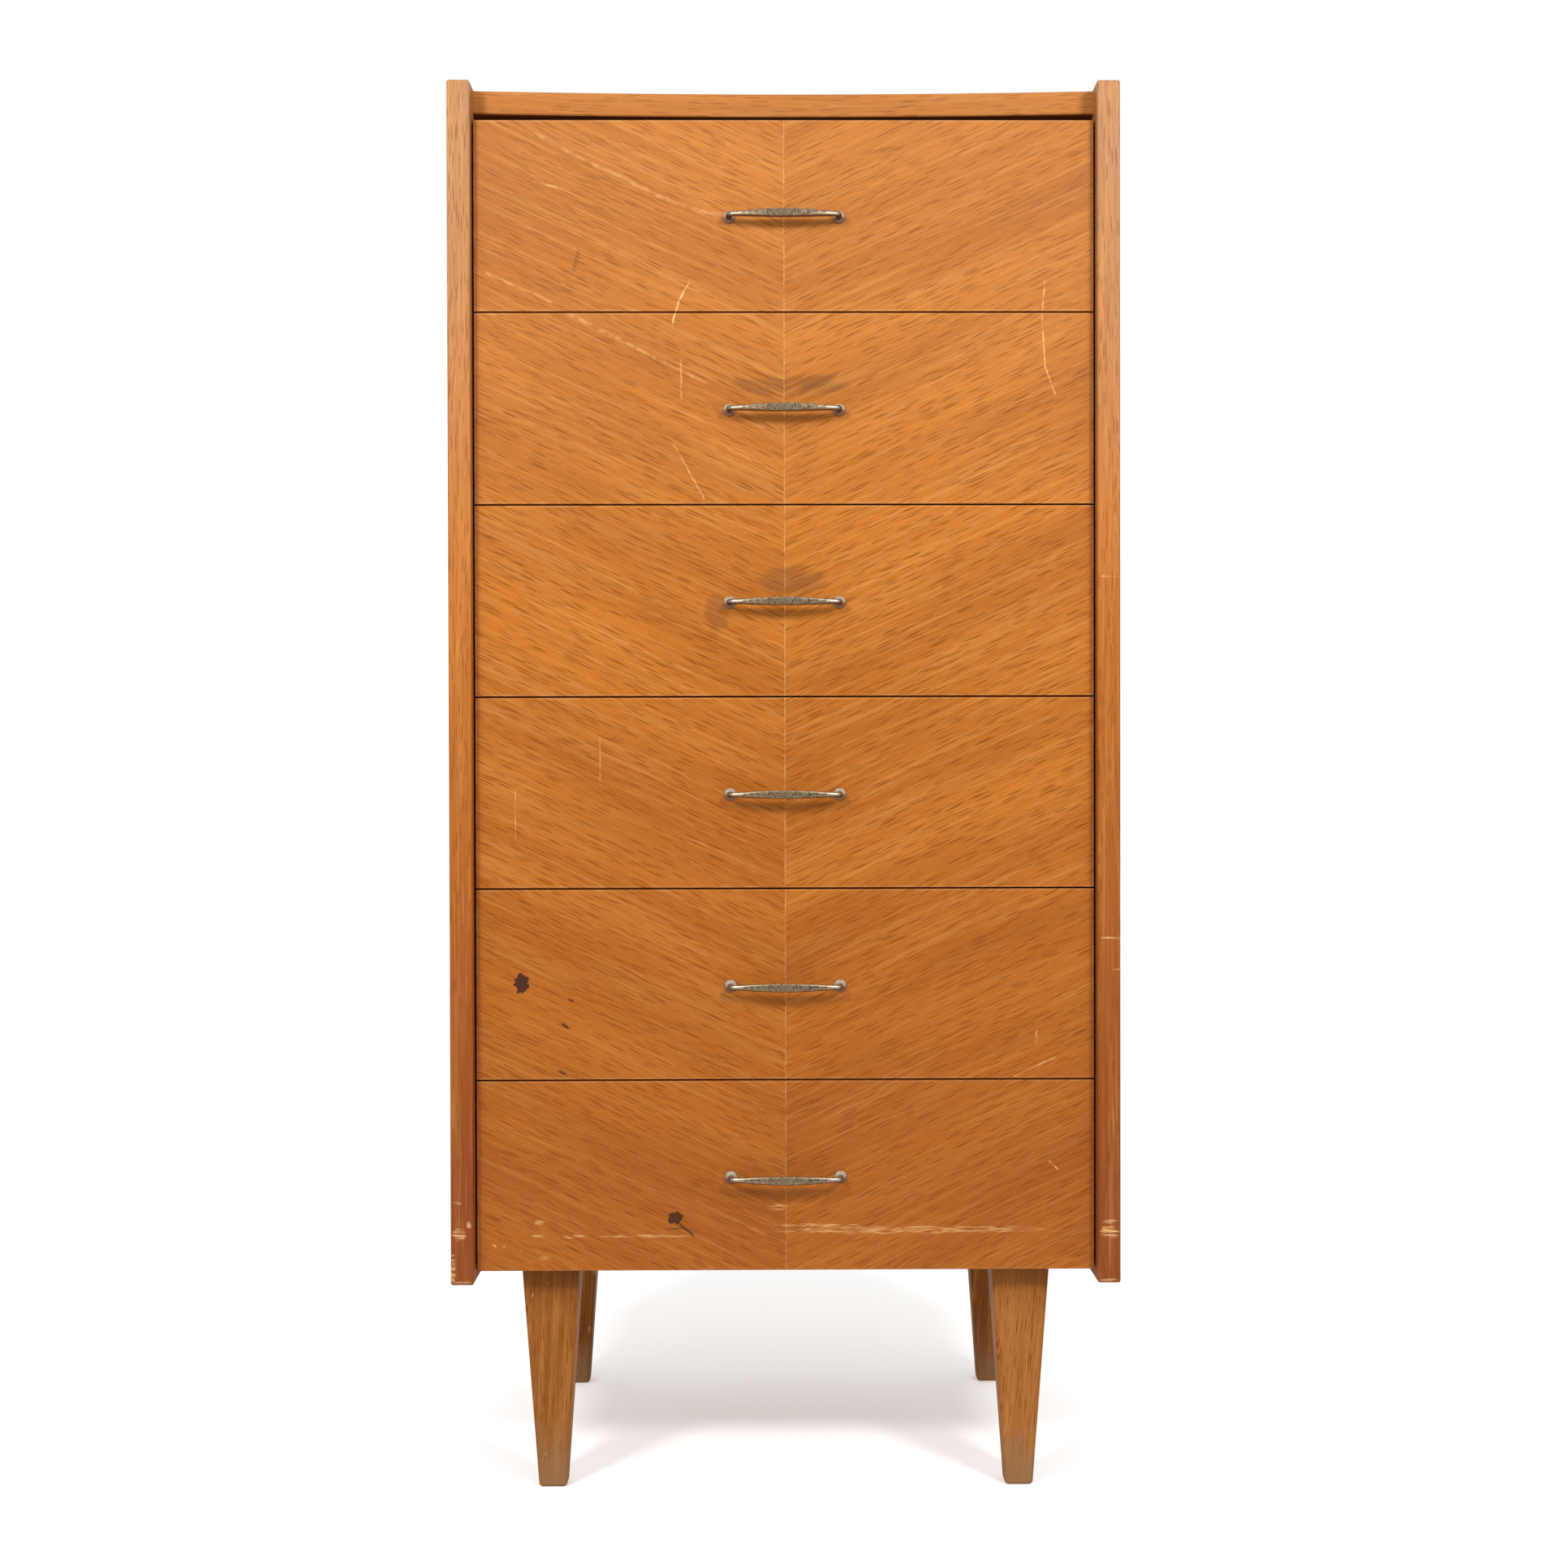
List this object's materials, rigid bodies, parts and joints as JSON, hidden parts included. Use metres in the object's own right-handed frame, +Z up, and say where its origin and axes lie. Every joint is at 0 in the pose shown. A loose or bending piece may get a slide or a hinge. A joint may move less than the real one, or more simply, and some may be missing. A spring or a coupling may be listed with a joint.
{
  "type": "tall chest of drawers",
  "caption": "Narrow tall oak chest with stacked drawers on wooden runners, bow handles, proud side panels and tapered legs, for storing clothes and linen.",
  "frame": {"origin": "on the floor, under the centre of the chest's bounding box", "axes": "+Z up, +Y to the back, +X to the right as seen from the front"},
  "size_m": [0.585, 0.4082, 1.24],
  "materials": {
    "oak_front": "satin lacquer",
    "oak_panel": "satin lacquer",
    "oak_lipping": "satin lacquer",
    "oak_leg": "worn satin lacquer",
    "drawer_wood": "bare, aged",
    "plywood": "bare, aged",
    "beech": "bare, waxed by use",
    "brass": "patinated, worn bright at the bends",
    "steel": "dull"
  },
  "bodies": {
    "carcass": {"side_panel_left": "oak_panel", "side_panel_right": "oak_panel", "top_panel": "oak_panel", "bottom_panel": "oak_panel", "side_lipping_left": "oak_lipping", "side_lipping_right": "oak_lipping", "top_lipping": "oak_lipping", "back_panel": "plywood", "runners_left": "beech", "runners_right": "beech", "panel_dowels": "beech", "leg_bolts": "steel", "leg_front_left": "oak_leg", "leg_front_right": "oak_leg", "leg_rear_left": "oak_leg", "leg_rear_right": "oak_leg"},
    "drawer_1": {"drawer_1_front": "oak_front", "drawer_1_side_left": "drawer_wood", "drawer_1_side_right": "drawer_wood", "drawer_1_back": "drawer_wood", "drawer_1_bottom": "plywood", "drawer_1_handle": "brass", "drawer_1_handle_screws": "steel"},
    "drawer_2": {"drawer_2_front": "oak_front", "drawer_2_side_left": "drawer_wood", "drawer_2_side_right": "drawer_wood", "drawer_2_back": "drawer_wood", "drawer_2_bottom": "plywood", "drawer_2_handle": "brass", "drawer_2_handle_screws": "steel"},
    "drawer_3": {"drawer_3_front": "oak_front", "drawer_3_side_left": "drawer_wood", "drawer_3_side_right": "drawer_wood", "drawer_3_back": "drawer_wood", "drawer_3_bottom": "plywood", "drawer_3_handle": "brass", "drawer_3_handle_screws": "steel"},
    "drawer_4": {"drawer_4_front": "oak_front", "drawer_4_side_left": "drawer_wood", "drawer_4_side_right": "drawer_wood", "drawer_4_back": "drawer_wood", "drawer_4_bottom": "plywood", "drawer_4_handle": "brass", "drawer_4_handle_screws": "steel"},
    "drawer_5": {"drawer_5_front": "oak_front", "drawer_5_side_left": "drawer_wood", "drawer_5_side_right": "drawer_wood", "drawer_5_back": "drawer_wood", "drawer_5_bottom": "plywood", "drawer_5_handle": "brass", "drawer_5_handle_screws": "steel"},
    "drawer_6": {"drawer_6_front": "oak_front", "drawer_6_side_left": "drawer_wood", "drawer_6_side_right": "drawer_wood", "drawer_6_back": "drawer_wood", "drawer_6_bottom": "plywood", "drawer_6_handle": "brass", "drawer_6_handle_screws": "steel"}
  },
  "joints": [
    {"name": "drawer_1_slide", "type": "slide", "parent": "carcass", "child": "drawer_1", "axis": [0, -1, 0], "range_m": [0, 0.28]},
    {"name": "drawer_2_slide", "type": "slide", "parent": "carcass", "child": "drawer_2", "axis": [0, -1, 0], "range_m": [0, 0.28]},
    {"name": "drawer_3_slide", "type": "slide", "parent": "carcass", "child": "drawer_3", "axis": [0, -1, 0], "range_m": [0, 0.28]},
    {"name": "drawer_4_slide", "type": "slide", "parent": "carcass", "child": "drawer_4", "axis": [0, -1, 0], "range_m": [0, 0.28]},
    {"name": "drawer_5_slide", "type": "slide", "parent": "carcass", "child": "drawer_5", "axis": [0, -1, 0], "range_m": [0, 0.28]},
    {"name": "drawer_6_slide", "type": "slide", "parent": "carcass", "child": "drawer_6", "axis": [0, -1, 0], "range_m": [0, 0.28]}
  ]
}
